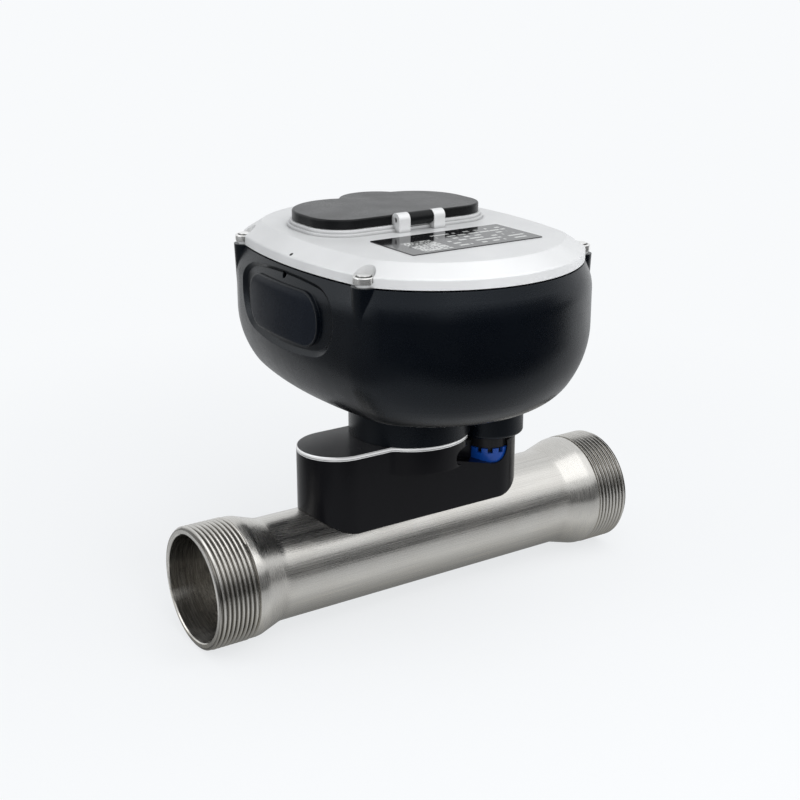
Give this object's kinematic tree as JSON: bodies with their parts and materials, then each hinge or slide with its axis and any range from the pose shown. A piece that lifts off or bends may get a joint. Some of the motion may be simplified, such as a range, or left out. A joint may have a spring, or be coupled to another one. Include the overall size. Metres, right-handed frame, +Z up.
{
  "type": "ultrasonic flow meter",
  "caption": "Inline flow meter: stainless measuring tube threaded at both ends, black saddle and bowl-shaped register head with silver cover, hinged flap lid and blue locking ring.",
  "frame": {"origin": "on the axis of the measuring tube, midway between its two end faces", "axes": "+X along the tube from inlet to outlet, +Z up towards the register head, +Y completes the frame"},
  "size_m": [0.245, 0.1868, 0.1967],
  "materials": {
    "stainless_tube": "turned and brushed, machined threads",
    "transducer_body": "smooth moulded",
    "seal_rubber": "matte",
    "saddle_black": "satin moulded",
    "closing_plate": "black coat with bare bright edge",
    "plug_black": "satin moulded",
    "ring_blue": "semi-gloss moulded",
    "contact_gold": "gold plated",
    "housing_black": "fine satin texture",
    "badge_dark": "semi-gloss film",
    "cover_silver": "satin silver coat",
    "screw_nickel": "polished nickel",
    "lid_grey": "satin moulded",
    "window_glass": "clear",
    "rating_film": "printed film",
    "board_green": "solder mask",
    "display_dark": "display module",
    "cell_wrap": "heat-shrink wrap",
    "tray_grey": "moulded"
  },
  "bodies": {
    "base": {"flow_tube": "stainless_tube", "transducers": "transducer_body", "transducer_seals": "seal_rubber", "saddle_block": "saddle_black", "closing_plate": "closing_plate", "connector_plug": "plug_black", "connector_socket": "plug_black", "contact_pins": "contact_gold", "housing": "housing_black", "neck_seal": "seal_rubber", "badge_plate": "badge_dark", "cover": "cover_silver", "cover_gasket": "seal_rubber", "cover_screws": "screw_nickel", "hinge_pin": "screw_nickel", "window_glass": "window_glass", "window_seal": "seal_rubber", "rating_plate": "rating_film", "circuit_board": "board_green", "board_screws": "screw_nickel", "display_module": "display_dark", "battery_cells": "cell_wrap", "battery_tray": "tray_grey"},
    "lid": {"lid": "lid_grey"},
    "locking_ring": {"locking_ring": "ring_blue"}
  },
  "joints": [
    {"name": "lid_hinge", "type": "hinge", "parent": "base", "child": "lid", "pos_m": [0.0002, -0.0071, 0.1636], "axis": [1, 0, 0], "range_deg": [0, 170]},
    {"name": "ring_turn", "type": "hinge", "parent": "base", "child": "locking_ring", "pos_m": [0.0437, -0.0074, 0.03855], "axis": [0, 0, 1], "range_deg": [0, 60]}
  ]
}
